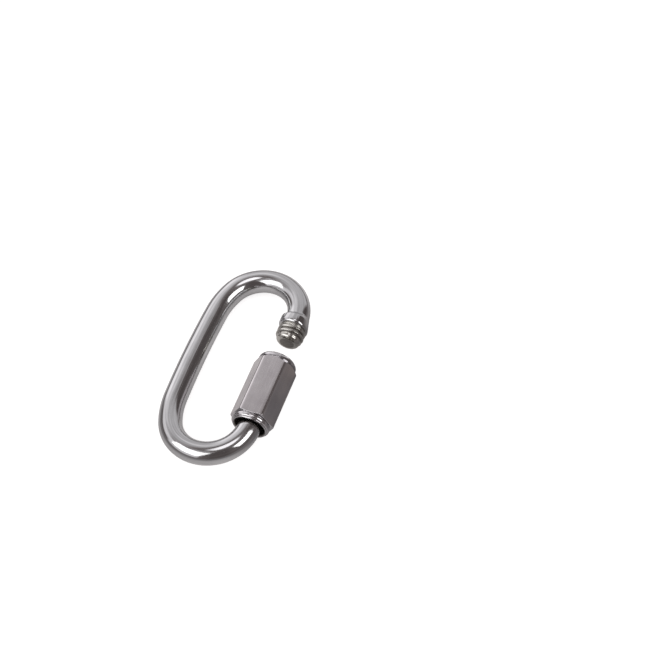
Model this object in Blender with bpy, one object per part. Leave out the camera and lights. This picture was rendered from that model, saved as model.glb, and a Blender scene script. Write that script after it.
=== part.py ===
"""Screw-lock oval link of polished stainless steel, lying open as it comes to rest.

A link has two pieces: one bent rod with a screw thread on each end, and a hexagonal
sleeve nut that runs along the base thread to bridge the gate onto the stud.

In the link's own frame the nut's axis is X, with the stud at -X and the base at +X.
The ring lies in the XY plane, with its plain side at -Y. The finished link lies on
the ground with one nut flat and its plain side touching it, so the ring is tilted
about the nut's axis. The origin is on the ground below the middle of the link.
"""

import math

import bmesh
import bpy
from mathutils import Matrix, Vector

MM = 0.001

# Rod and ring
WIRE_DIAMETER = 6.0 * MM
RING_WIDTH = 27.2 * MM
PLAIN_SIDE_BOW_RADIUS = 270.0 * MM
TIGHT_BEND_SHARE = 0.472
WIDE_BEND_SHARE = 0.99
BEND_FLATTENING_SHARE = 0.03

# Screw thread, the same helix on both rod ends
THREAD_RISE = 0.6 * MM
THREAD_PITCH = 1.25 * MM
THREAD_DEPTH = 0.55 * MM
THREAD_ROOT_FLAT = 0.15 * MM
THREAD_FLANK_ANGLE = math.radians(30.0)
THREAD_OVERCUT = 0.2 * MM
THREAD_FADE_TURNS = 0.5

# Stud, from its tip to the shoulder that stops the nut
STUD_LENGTH = 5.1 * MM
PILOT_LENGTH = 1.35 * MM
PILOT_STEP = 0.4 * MM
TIP_ROUND_RISE = 1.5 * MM
TIP_ROUND_LENGTH = 0.9 * MM
RELIEF_WIDTH = 0.5 * MM
RELIEF_DEPTH = 0.4 * MM
SHOULDER_STEP = 0.4 * MM
SHOULDER_LENGTH = 2.3 * MM
SHOULDER_ROUND_RISE = 0.7 * MM
SHOULDER_ROUND_LENGTH = 0.85 * MM
SHOULDER_BLEND = 1.4 * MM
SHOULDER_INSET = 2.75 * MM

# Base thread, hidden in the nut while the link is open
BASE_THREAD_LENGTH = 7.4 * MM
BASE_END_CHAMFER = 0.6 * MM
BASE_RUNOUT_LENGTH = 0.8 * MM
BASE_END_RECESS = 0.8 * MM

# Sleeve nut
NUT_LENGTH = 20.0 * MM
NUT_WALL = 1.1 * MM
NUT_CLEARANCE = 0.3 * MM
NUT_SEAT_GAP = 0.3 * MM
NUT_END_CLEARANCE = 0.35 * MM
NUT_TRAVEL_TURNS = 8
NECK_LENGTH = 1.35 * MM
NECK_STEP = 0.1 * MM
NECK_ROUND_LENGTH = 1.0 * MM
NECK_RIM = 0.5 * MM
CORNER_CUT_ANGLE = math.radians(60.0)
MOUTH_FLARE = 0.25 * MM
BORE_OVERRUN = 1.0 * MM

# Facets
ROD_SIDES = 24
BEND_STEP_ANGLE = math.radians(9.0)
ARC_STEPS = 4
THREAD_STEPS_PER_TURN = 24
NUT_SIDES = 48
HEX_SIDES = 6
SMOOTH_ANGLE = math.radians(32.0)

# Sizes that follow from the ones above
WIRE_RADIUS = WIRE_DIAMETER / 2
THREAD_RADIUS = WIRE_RADIUS + THREAD_RISE
ROOT_RADIUS = THREAD_RADIUS - THREAD_DEPTH
PILOT_RADIUS = THREAD_RADIUS - PILOT_STEP
RELIEF_RADIUS = THREAD_RADIUS - RELIEF_DEPTH
SHOULDER_RADIUS = THREAD_RADIUS + SHOULDER_STEP
BORE_RADIUS = THREAD_RADIUS + NUT_CLEARANCE
FLAT_RADIUS = BORE_RADIUS + NUT_WALL
CORNER_RADIUS = FLAT_RADIUS / math.cos(math.pi / HEX_SIDES)
NUT_TRAVEL = NUT_TRAVEL_TURNS * THREAD_PITCH

# Width between the axes of the two long sides
RING_SPAN = RING_WIDTH - WIRE_DIAMETER
TIGHT_BEND_RADIUS = TIGHT_BEND_SHARE * RING_SPAN
WIDE_BEND_RADIUS = WIDE_BEND_SHARE * RING_SPAN

# Places along the nut's axis, with the middle of the straight stretch at zero
STRAIGHT_HALF = (SHOULDER_INSET + NUT_SEAT_GAP + NUT_TRAVEL + NUT_LENGTH + NUT_END_CLEARANCE) / 2
SHOULDER_X = SHOULDER_INSET - STRAIGHT_HALF
TIP_X = SHOULDER_X + STUD_LENGTH
NUT_FRONT_X = SHOULDER_X + NUT_SEAT_GAP + NUT_TRAVEL
BASE_END_X = NUT_FRONT_X + BASE_END_RECESS

# Resting pose: one nut flat and the plain side on the ground
TILT = math.asin((FLAT_RADIUS - WIRE_RADIUS) / RING_SPAN)
AXIS_HEIGHT = FLAT_RADIUS
AXIS_Y = (RING_SPAN * math.cos(TILT) + WIRE_RADIUS - CORNER_RADIUS) / 2


def clear_scene():
    """Remove whatever the scene holds."""
    for obj in list(bpy.data.objects):
        bpy.data.objects.remove(obj, do_unlink=True)


def ring_turns():
    """Half turn of the bowed plain side, and the heading where wide bends meet tight ones.

    The two headings close the ring: the bend ends on the nut's axis, at the end of
    its straight stretch. Each pass puts one answer into the other's equation.
    """
    bow_turn = 0.0
    for _ in range(40):
        bow_rise = PLAIN_SIDE_BOW_RADIUS * (1 - math.cos(bow_turn))
        reach = RING_SPAN - bow_rise - WIDE_BEND_RADIUS * math.cos(bow_turn) - TIGHT_BEND_RADIUS
        meeting = math.acos(reach / (TIGHT_BEND_RADIUS - WIDE_BEND_RADIUS))
        widening = WIDE_BEND_RADIUS * (math.sin(meeting) - math.sin(bow_turn))
        closing = TIGHT_BEND_RADIUS * math.sin(meeting)
        bow_turn = math.asin((STRAIGHT_HALF - widening + closing) / PLAIN_SIDE_BOW_RADIUS)
    return bow_turn, meeting


def centreline_arcs():
    """Lengths and curvatures of the rod's axis, from the stud's tip round to the base's end."""
    bow_turn, meeting = ring_turns()
    tight = ((math.pi - meeting) * TIGHT_BEND_RADIUS, 1 / TIGHT_BEND_RADIUS)
    wide = ((meeting - bow_turn) * WIDE_BEND_RADIUS, 1 / WIDE_BEND_RADIUS)
    plain_side = (2 * bow_turn * PLAIN_SIDE_BOW_RADIUS, 1 / PLAIN_SIDE_BOW_RADIUS)
    stud = (TIP_X + STRAIGHT_HALF, 0.0)
    base = (STRAIGHT_HALF - BASE_END_X, 0.0)
    return [stud, tight, wide, plain_side, wide, tight, base]


def follow_arc(place, heading, length, curvature):
    """Place and heading after a stretch of constant curvature."""
    forward = Vector((math.cos(heading), math.sin(heading), 0.0))
    if curvature == 0:
        return place + length * forward, heading
    turned = heading + length * curvature
    side = Vector((math.sin(turned) - math.sin(heading), math.cos(heading) - math.cos(turned), 0.0))
    return place + side / curvature, turned


def on_centreline(distance):
    """Place and heading on the rod's axis at a distance from the stud's tip."""
    place = Vector((TIP_X, 0.0, 0.0))
    heading = math.pi
    for length, curvature in centreline_arcs():
        step = min(distance, length)
        place, heading = follow_arc(place, heading, step, curvature)
        distance -= step
        if distance <= 0:
            break
    return place, heading


def flattening(distance):
    """Share by which a bend presses the rod flat, fading out at the bend's ends."""
    start = 0.0
    for length, curvature in centreline_arcs():
        if curvature == 1 / TIGHT_BEND_RADIUS and start < distance < start + length:
            return BEND_FLATTENING_SHARE * math.sin(math.pi * (distance - start) / length)
        start += length
    return 0.0


def quarter_round(start, radius, rise, length):
    """Profile points of a convex rounding that starts steep and ends level."""
    points = []
    for step in range(ARC_STEPS + 1):
        angle = math.pi / 2 * step / ARC_STEPS
        points.append((start + length * (1 - math.cos(angle)), radius - rise + rise * math.sin(angle)))
    return points


def stud_profile():
    """Distances from the tip, and radii, of the pilot, thread, relief and shoulder."""
    lead_in = PILOT_LENGTH + THREAD_RADIUS - PILOT_RADIUS
    relief = STUD_LENGTH - RELIEF_WIDTH
    points = quarter_round(0.0, PILOT_RADIUS, TIP_ROUND_RISE, TIP_ROUND_LENGTH)
    points += [(PILOT_LENGTH, PILOT_RADIUS), (lead_in, THREAD_RADIUS)]
    points += [(relief, THREAD_RADIUS), (relief, RELIEF_RADIUS), (STUD_LENGTH, RELIEF_RADIUS)]
    points += quarter_round(STUD_LENGTH, SHOULDER_RADIUS, SHOULDER_ROUND_RISE, SHOULDER_ROUND_LENGTH)
    blend_start = STUD_LENGTH + SHOULDER_LENGTH
    blend_steps = 2 * ARC_STEPS
    for step in range(blend_steps + 1):
        fall = (1 + math.cos(math.pi * step / blend_steps)) / 2
        radius = WIRE_RADIUS + (SHOULDER_RADIUS - WIRE_RADIUS) * fall
        points.append((blend_start + SHOULDER_BLEND * step / blend_steps, radius))
    return points


def base_profile():
    """Distances from the base's end, and radii, of its chamfered thread and run-out."""
    return [
        (0.0, THREAD_RADIUS - BASE_END_CHAMFER),
        (BASE_END_CHAMFER, THREAD_RADIUS),
        (BASE_THREAD_LENGTH - BASE_RUNOUT_LENGTH, THREAD_RADIUS),
        (BASE_THREAD_LENGTH, WIRE_RADIUS),
    ]


def plain_distances(start, end):
    """Distances from start to end, at the bends' ends and at even steps within each arc.

    The plain side turns only a few degrees, and still gets steps enough to show its bow.
    """
    distances = []
    arc_start = 0.0
    for length, curvature in centreline_arcs():
        fewest = ARC_STEPS if curvature else 1
        steps = max(fewest, math.ceil(length * curvature / BEND_STEP_ANGLE))
        distances += [arc_start + length * step / steps for step in range(1, steps + 1)]
        arc_start += length
    return [distance for distance in distances if start < distance < end]


def rod_sections():
    """Distance and radius of each ring of points that the rod's skin runs through."""
    total = sum(length for length, _ in centreline_arcs())
    stud = stud_profile()
    base = [(total - distance, radius) for distance, radius in reversed(base_profile())]
    spacing = TIGHT_BEND_RADIUS * BEND_STEP_ANGLE / 2
    plain = plain_distances(stud[-1][0] + spacing, base[0][0])
    return stud + [(distance, WIRE_RADIUS) for distance in plain] + base


def section_points(distance, radius):
    """One ring of points round the rod's axis, a little flattened where the rod is bent."""
    place, heading = on_centreline(distance)
    outward = Vector((math.sin(heading), -math.cos(heading), 0.0))
    upward = Vector((0.0, 0.0, 1.0))
    pressed = flattening(distance)
    across = radius * (1 - pressed)
    over = radius * (1 + pressed / 2)
    points = []
    for side in range(ROD_SIDES):
        angle = 2 * math.pi * side / ROD_SIDES
        points.append(place + across * math.cos(angle) * outward + over * math.sin(angle) * upward)
    return points


def loft(name, rings):
    """Closed mesh through rings of equal point counts, capped at both ends."""
    shape = bmesh.new()
    loops = [[shape.verts.new(point) for point in ring] for ring in rings]
    shape.faces.new(loops[0])
    shape.faces.new(loops[-1])
    for near, far in zip(loops, loops[1:]):
        for side in range(len(near)):
            turn = (side + 1) % len(near)
            shape.faces.new((near[side], near[turn], far[turn], far[side]))
    return finish_mesh(name, shape)


def finish_mesh(name, shape):
    """Turn a bmesh into an object, with its faces pointing out."""
    bmesh.ops.recalc_face_normals(shape, faces=shape.faces)
    mesh = bpy.data.meshes.new(name)
    shape.to_mesh(mesh)
    shape.free()
    obj = bpy.data.objects.new(name, mesh)
    bpy.context.scene.collection.objects.link(obj)
    return obj


def turned(name, profile, sides):
    """Solid of revolution about X from (x, radius) points, closed at both ends."""
    rings = []
    for x, radius in profile:
        angles = [2 * math.pi * side / sides for side in range(sides)]
        rings.append([(x, radius * math.cos(a), radius * math.sin(a)) for a in angles])
    return loft(name, rings)


def groove_section(x, lift):
    """Four points of the thread groove at a place on X, on the link's one right-hand helix."""
    outer = THREAD_RADIUS + THREAD_OVERCUT + lift
    root = ROOT_RADIUS + lift
    root_half = THREAD_ROOT_FLAT / 2
    outer_half = root_half + (outer - root) * math.tan(THREAD_FLANK_ANGLE)
    aim = Matrix.Rotation(2 * math.pi * x / THREAD_PITCH, 3, "X")
    corners = [(-root_half, root), (root_half, root), (outer_half, outer), (-outer_half, outer)]
    return [aim @ Vector((x + along, radius, 0.0)) for along, radius in corners]


def groove_cutter(name, start_x, end_x):
    """Thread groove between two places on X, rising out of the rod over its first and last half turn."""
    turns = (end_x - start_x) / THREAD_PITCH
    steps = round(turns * THREAD_STEPS_PER_TURN)
    sections = []
    for step in range(steps + 1):
        turns_to_end = turns * min(step, steps - step) / steps
        fade = max(0.0, 1 - turns_to_end / THREAD_FADE_TURNS)
        x = start_x + (end_x - start_x) * step / steps
        sections.append(groove_section(x, fade * (THREAD_DEPTH + THREAD_OVERCUT)))
    return loft(name, sections)


def combine(body, tool, operation):
    """Join, cut or intersect the body with a tool, then drop the tool."""
    tool.hide_render = True
    tool.display_type = "WIRE"
    modifier = body.modifiers.new(operation.lower(), "BOOLEAN")
    modifier.operation = operation
    modifier.solver = "EXACT"
    modifier.object = tool
    graph = bpy.context.evaluated_depsgraph_get()
    result = bpy.data.meshes.new_from_object(body.evaluated_get(graph))
    body.modifiers.clear()
    body.data = result
    bpy.data.objects.remove(tool, do_unlink=True)


def steel(name, base_color, roughness):
    """Polished stainless steel."""
    material = bpy.data.materials.new(name)
    material.use_nodes = True
    shader = material.node_tree.nodes["Principled BSDF"]
    shader.inputs["Base Color"].default_value = (*base_color, 1.0)
    shader.inputs["Metallic"].default_value = 1.0
    shader.inputs["Roughness"].default_value = roughness
    return material


def shade(obj, material):
    """Smooth shading with crisp edges, and the piece's own material."""
    obj.data.materials.clear()
    obj.data.materials.append(material)
    obj.data.shade_smooth()
    obj.data.set_sharp_from_angle(angle=SMOOTH_ANGLE)


def link_body():
    """The bent rod: stud with its shoulder, ring, and base thread."""
    rod = loft("link_body", [section_points(*section) for section in rod_sections()])
    stud_groove_end = TIP_X - PILOT_LENGTH + THREAD_PITCH / 2
    combine(rod, groove_cutter("stud_groove", SHOULDER_X + THREAD_PITCH / 2, stud_groove_end), "DIFFERENCE")
    base_groove_start = BASE_END_X - THREAD_PITCH
    base_groove_end = BASE_END_X + BASE_THREAD_LENGTH
    combine(rod, groove_cutter("base_groove", base_groove_start, base_groove_end), "DIFFERENCE")
    shade(rod, steel("polished_steel_rod", (0.56, 0.55, 0.54), 0.16))
    return rod


def nut_end_profile():
    """Distances from a nut end, and radii, of its rim, rounded neck and corner cut."""
    rim_radius = BORE_RADIUS + NECK_RIM
    neck_radius = FLAT_RADIUS - NECK_STEP
    points = []
    for step in range(ARC_STEPS + 1):
        angle = math.pi / 2 * step / ARC_STEPS
        along = NECK_ROUND_LENGTH * (1 - math.cos(angle))
        points.append((along, rim_radius + (neck_radius - rim_radius) * math.sin(angle)))
    corner_reach = CORNER_RADIUS + NECK_STEP
    cut_length = (corner_reach - neck_radius) / math.tan(CORNER_CUT_ANGLE)
    points += [(NECK_LENGTH, neck_radius), (NECK_LENGTH + cut_length, corner_reach)]
    return points


def mirrored_profile(end_points, length):
    """A profile made of one end, then the same end turned round at the far side."""
    far = [(length - distance, radius) for distance, radius in reversed(end_points)]
    return end_points + far


def sleeve_nut():
    """The hexagonal sleeve: hexagon bar, turned ends, through bore with flared mouths."""
    hexagon = turned("sleeve_nut", [(0.0, CORNER_RADIUS), (NUT_LENGTH, CORNER_RADIUS)], HEX_SIDES)
    envelope = turned("nut_envelope", mirrored_profile(nut_end_profile(), NUT_LENGTH), NUT_SIDES)
    combine(hexagon, envelope, "INTERSECT")
    flare_radius = BORE_RADIUS + MOUTH_FLARE
    mouth = [(-BORE_OVERRUN, flare_radius), (0.0, flare_radius), (MOUTH_FLARE, BORE_RADIUS)]
    bore = turned("nut_bore", mirrored_profile(mouth, NUT_LENGTH), NUT_SIDES)
    combine(hexagon, bore, "DIFFERENCE")
    shade(hexagon, steel("polished_steel_nut", (0.52, 0.5, 0.49), 0.2))
    return hexagon


def lay_down(rod, nut):
    """Put both pieces on their shared axis, with the ring tilted onto the ground."""
    rod.location = (0.0, AXIS_Y, AXIS_HEIGHT)
    rod.rotation_euler = (TILT, 0.0, 0.0)
    nut.location = (NUT_FRONT_X, AXIS_Y, AXIS_HEIGHT)


def main():
    clear_scene()
    lay_down(link_body(), sleeve_nut())


main()
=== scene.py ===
"""Screw-lock link of polished stainless steel, lying open in a plain light studio.

A link has two pieces, the bent rod and its hexagonal sleeve nut. Both are made here
again with their true screw threads, eased edges and polished skin, on the places
that the CAD frame gives. Sizes are in millimetres unless a name says otherwise.
"""

import logging
import math
from dataclasses import dataclass, field
from enum import Enum, IntEnum
from typing import Callable, Sequence

import bmesh
import bpy
from mathutils import Matrix, Vector

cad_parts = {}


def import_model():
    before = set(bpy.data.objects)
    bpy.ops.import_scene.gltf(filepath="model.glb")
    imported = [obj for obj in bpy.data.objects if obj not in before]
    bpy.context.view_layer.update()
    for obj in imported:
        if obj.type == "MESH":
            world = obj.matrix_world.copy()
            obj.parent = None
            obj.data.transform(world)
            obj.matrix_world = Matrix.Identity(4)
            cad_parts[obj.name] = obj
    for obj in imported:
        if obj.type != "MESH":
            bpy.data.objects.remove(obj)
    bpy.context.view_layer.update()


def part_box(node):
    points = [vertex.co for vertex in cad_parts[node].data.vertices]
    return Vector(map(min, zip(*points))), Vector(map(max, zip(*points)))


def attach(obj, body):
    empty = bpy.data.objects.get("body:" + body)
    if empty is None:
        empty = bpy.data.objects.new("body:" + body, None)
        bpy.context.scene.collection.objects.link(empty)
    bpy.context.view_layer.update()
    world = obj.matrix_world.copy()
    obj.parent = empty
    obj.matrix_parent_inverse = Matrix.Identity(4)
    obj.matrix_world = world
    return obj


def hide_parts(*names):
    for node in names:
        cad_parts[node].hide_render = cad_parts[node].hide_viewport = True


MM = 0.001
LOG = logging.getLogger("quick_link")

Pair = tuple[float, float]
Triple = tuple[float, float, float]
Tree = bpy.types.NodeTree
Socket = bpy.types.NodeSocket


# Small maths


def smooth_step(value: float) -> float:
    """Ease from 0 to 1, level at both ends.

    Args:
        value: Progress, held between 0 and 1.

    Returns:
        The eased progress.
    """
    held = min(1.0, max(0.0, value))
    return held * held * (3 - 2 * held)


def between(x: float, points: Sequence[Pair]) -> float:
    """Read a value off a broken line.

    Args:
        x: Place along the line.
        points: The line's corners, as (place, value), in rising order.

    Returns:
        The value at that place, level beyond the ends.
    """
    if x <= points[0][0]:
        return points[0][1]
    for (x0, y0), (x1, y1) in zip(points, points[1:]):
        if x <= x1:
            return y0 if x1 == x0 else y0 + (y1 - y0) * (x - x0) / (x1 - x0)
    return points[-1][1]


def soft_least(a: float, b: float, ease: float) -> float:
    """The smaller of two radii, eased where they meet.

    Args:
        a: One radius.
        b: The other radius.
        ease: Size of the eased zone.

    Returns:
        The smaller radius, rounded off inside the zone.
    """
    overlap = max(ease - abs(a - b), 0.0) / ease
    return min(a, b) - overlap * overlap * ease / 4


def eased_line(corners: Sequence[Triple], steps: int) -> list[Pair]:
    """Turn corners into a line with each corner rounded off.

    Args:
        corners: (along, radius, rounding) of each corner. A rounding of 0 stays sharp.
        steps: Straight pieces in each rounding.

    Returns:
        Points (along, radius) of the eased line.
    """
    line: list[Pair] = []
    for index, (along, radius, rounding) in enumerate(corners):
        here = Vector((along, radius))
        if rounding == 0 or index in (0, len(corners) - 1):
            line.append((along, radius))
            continue
        before = Vector(corners[index - 1][:2]) - here
        after = Vector(corners[index + 1][:2]) - here
        reach = min(rounding, before.length / 2, after.length / 2)
        first = here + before.normalized() * reach
        last = here + after.normalized() * reach
        for step in range(steps + 1):
            share = step / steps
            point = first * (1 - share) ** 2 + here * 2 * share * (1 - share) + last * share ** 2
            line.append((point.x, point.y))
    return line


def even_angles(sides: int) -> list[float]:
    """Evenly spread angles over one turn, in radians."""
    return [math.tau * side / sides for side in range(sides)]


# Mesh building


class Skin:
    """Collects the points and faces of one piece and turns them into its mesh."""

    # Points nearer to each other than this are joined.
    WELD = 0.0006

    def __init__(self) -> None:
        """Start with nothing in the skin."""
        self.points: list[Triple] = []
        self.groove_and_end_shade: list[float] = []
        self.faces: list[list[int]] = []
        self.corners: list[list[Pair]] = []
        self.finish_index: list[int] = []

    def point(self, place: Sequence[float], groove_and_end_shade: float = 0.0) -> int:
        """Add a point.

        Args:
            place: Its place, in the piece's own frame.
            groove_and_end_shade: How deep it lies in a groove, from 0 to 1; on the stud's end face, the
                share of painted shade.

        Returns:
            The point's number.
        """
        self.points.append(tuple(place))
        self.groove_and_end_shade.append(groove_and_end_shade)
        return len(self.points) - 1

    def face(self, points: Sequence[int], corners: Sequence[Pair], finish: int) -> None:
        """Add a face, leaving out corners that fall on each other.

        Args:
            points: Numbers of its points, in order round it.
            corners: Place of each corner on the skin, as (along, around).
            finish: Which of the piece's finishes it shows.
        """
        kept: list[tuple[int, Pair]] = []
        for number, corner in zip(points, corners):
            if all(number != other for other, _ in kept):
                kept.append((number, corner))
        if len(kept) > 2:
            self.faces.append([number for number, _ in kept])
            self.corners.append([corner for _, corner in kept])
            self.finish_index.append(finish)

    def strip(self, near: Sequence[int], far: Sequence[int], reach: Pair, girth: float,
              finish: int) -> None:
        """Join two closed rings of points with a band of faces.

        Args:
            near: Point numbers of one ring.
            far: Point numbers of the other ring.
            reach: Places of the near and the far ring along the skin.
            girth: Length round the band.
            finish: Which finish the band shows.
        """
        sides = len(near)
        for side in range(sides):
            turn = (side + 1) % sides
            here = girth * side / sides
            there = girth * (side + 1) / sides
            self.face(
                (near[side], near[turn], far[turn], far[side]),
                ((reach[0], here), (reach[0], there), (reach[1], there), (reach[1], here)),
                finish,
            )

    def make(self, name: str, finishes: Sequence[bpy.types.Material],
             crisp_degrees: float) -> bpy.types.Object:
        """Weld the skin into an object.

        Args:
            name: The piece's name.
            finishes: Its materials, in the order that the faces number them.
            crisp_degrees: Angle over which an edge stays crisp.

        Returns:
            The new object, with its skin places as a UV map named "skin_mm".
        """
        mesh = bpy.data.meshes.new(name)
        mesh.from_pydata([[value * MM for value in place] for place in self.points], [], self.faces)
        mesh.polygons.foreach_set("material_index", self.finish_index)
        skin_places = mesh.uv_layers.new(name="skin_mm")
        flat = [value for corners in self.corners for corner in corners for value in corner]
        skin_places.data.foreach_set("uv", flat)
        # Groove depth for the finishes, and the share of painted shade on the stud's end face.
        groove_and_end_shade = mesh.attributes.new("groove_and_end_shade", "FLOAT", "POINT")
        groove_and_end_shade.data.foreach_set("value", self.groove_and_end_shade)
        shape = bmesh.new()
        shape.from_mesh(mesh)
        bmesh.ops.remove_doubles(shape, verts=shape.verts, dist=self.WELD * MM)
        bmesh.ops.recalc_face_normals(shape, faces=shape.faces)
        shape.to_mesh(mesh)
        shape.free()
        for finish in finishes:
            mesh.materials.append(finish)
        mesh.shade_smooth()
        mesh.set_sharp_from_angle(angle=math.radians(crisp_degrees))
        obj = bpy.data.objects.new(name, mesh)
        bpy.context.scene.collection.objects.link(obj)
        return obj


@dataclass(frozen=True)
class ScrewThread:
    """One right-hand screw thread form, shared by the rod and the nut.

    The helix starts from +Y at the origin of the link's long axis, and turns
    towards +Z as it goes along +X.
    """

    pitch: float = 1.25
    depth: float = 0.55
    root_flat: float = 0.16
    flank_run: float = 0.36
    steps_per_pitch: int = 16
    snap_share: float = 0.35

    def groove(self, x: float, angle: float) -> float:
        """Share of the full depth that is cut away.

        Args:
            x: Place along the axis.
            angle: Angle round the axis, in radians from +Y.

        Returns:
            0 on a crest, 1 at the root.
        """
        turn = x / self.pitch - angle / math.tau
        off_root = abs(turn - round(turn)) * self.pitch - self.root_flat / 2
        return 1 - smooth_step(off_root / self.flank_run)

    def columns(self, start: float, end: float, angles: Sequence[float]) -> list[list[float]]:
        """Places along the axis that follow the helix, for each angle.

        Args:
            start: Lower end of the threaded stretch.
            end: Upper end of the threaded stretch.
            angles: Angles round the axis, in radians.

        Returns:
            A list of places for each angle, all equally long. Places near an end
            snap to it.
        """
        step = self.pitch / self.steps_per_pitch
        snap = step * self.snap_share
        first = math.floor(start / step) - self.steps_per_pitch - 1
        last = math.ceil(end / step) + 1
        columns = []
        for angle in angles:
            column = []
            for number in range(first, last + 1):
                place = number * step + self.pitch * angle / math.tau
                place = start if place < start + snap else place
                place = end if place > end - snap else place
                column.append(place)
            columns.append(column)
        return columns


def threaded_skin(skin: Skin, thread: ScrewThread, reach: Pair, angles: Sequence[float],
                  radius_at: Callable[[float, float], Pair], girth: float, finish: int) -> None:
    """Lay a band of skin along a screw helix.

    Args:
        skin: The piece's skin, which grows by the band.
        thread: The thread form.
        reach: The threaded stretch along the axis.
        angles: Angles of the band's columns.
        radius_at: Gives (radius, share sunk) at a place and an angle.
        girth: Length round the piece, for the skin's places.
        finish: Which finish the band shows.
    """
    places = thread.columns(*reach, angles)
    numbers: list[list[int]] = []
    for column, angle in zip(places, angles):
        found: list[int] = []
        for index, x in enumerate(column):
            if index and x == column[index - 1]:
                found.append(found[-1])
                continue
            radius, groove_and_end_shade = radius_at(x, angle)
            found.append(skin.point((x, radius * math.cos(angle), radius * math.sin(angle)), groove_and_end_shade))
        numbers.append(found)
    top = len(places[0]) - 1
    sides = len(angles)
    for side in range(sides):
        other = (side + 1) % sides
        # The last column meets the first one a whole turn up the helix.
        shift = 0 if other else thread.steps_per_pitch
        around = (girth * side / sides, girth * (side + 1) / sides)
        for index in range(-shift, top):
            near, far = max(index, 0), max(index + 1, 0)
            near_over, far_over = min(index + shift, top), min(index + 1 + shift, top)
            quad = (numbers[side][near], numbers[other][near_over],
                    numbers[other][far_over], numbers[side][far])
            corners = ((places[side][near], around[0]), (places[other][near_over], around[1]),
                       (places[other][far_over], around[1]), (places[side][far], around[0]))
            skin.face(quad, corners, finish)


def turned_skin(skin: Skin, line: Sequence[Pair], angles: Sequence[float], girth: float,
                finish: int) -> None:
    """Lay turned bands of skin round the axis.

    Args:
        skin: The piece's skin, which grows by the bands.
        line: (place, radius) points of the turned outline.
        angles: Angles of the columns.
        girth: Length round the piece, for the skin's places.
        finish: Which finish the bands show.
    """
    rings = []
    along = [0.0]
    for x, radius in line:
        rings.append([skin.point((x, radius * math.cos(a), radius * math.sin(a))) for a in angles])
    for (x0, r0), (x1, r1) in zip(line, line[1:]):
        along.append(along[-1] + math.hypot(x1 - x0, r1 - r0))
    for index in range(len(rings) - 1):
        skin.strip(rings[index], rings[index + 1], (along[index], along[index + 1]), girth, finish)


# Shader nodes


def linear(hex_code: str) -> tuple[float, float, float, float]:
    """Turn an sRGB colour into the linear values that shaders use.

    Args:
        hex_code: Colour as "#RRGGBB".

    Returns:
        Linear red, green, blue and an alpha of 1.
    """
    shares = [int(hex_code[start:start + 2], 16) / 255 for start in (1, 3, 5)]
    red, green, blue = (s / 12.92 if s <= 0.04045 else ((s + 0.055) / 1.055) ** 2.4 for s in shares)
    return red, green, blue, 1.0


def add_node(tree: Tree, kind: str, settings: dict | None = None,
             links: dict | None = None) -> bpy.types.Node:
    """Add one node to a material, with its settings and links.

    Args:
        tree: The material's node tree.
        kind: Blender's type name of the node.
        settings: Values by property name, or by input name or number.
        links: Output sockets by the input name or number that each goes into.

    Returns:
        The new node.
    """
    node = tree.nodes.new(kind)
    for name, value in (settings or {}).items():
        if isinstance(name, str) and hasattr(node, name):
            setattr(node, name, value)
        else:
            node.inputs[name].default_value = value
    for name, source in (links or {}).items():
        tree.links.new(source, node.inputs[name])
    return node


def any_ray(tree: Tree, kinds: Sequence[str]) -> Socket:
    """Tell rays of some kinds from all others.

    Args:
        tree: The node tree.
        kinds: The kinds, as the light path node names them.

    Returns:
        1 for a ray of any of these kinds, otherwise 0.
    """
    path = add_node(tree, "ShaderNodeLightPath")
    found = path.outputs[kinds[0]]
    for kind in kinds[1:]:
        either = add_node(tree, "ShaderNodeMath", {"operation": "MAXIMUM"},
                          {0: found, 1: path.outputs[kind]})
        found = either.outputs["Value"]
    return found


# Steel finishes


class Lay(Enum):
    """Which way the polishing lines run on a surface."""

    ALONG = "along"
    AROUND = "around"


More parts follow.
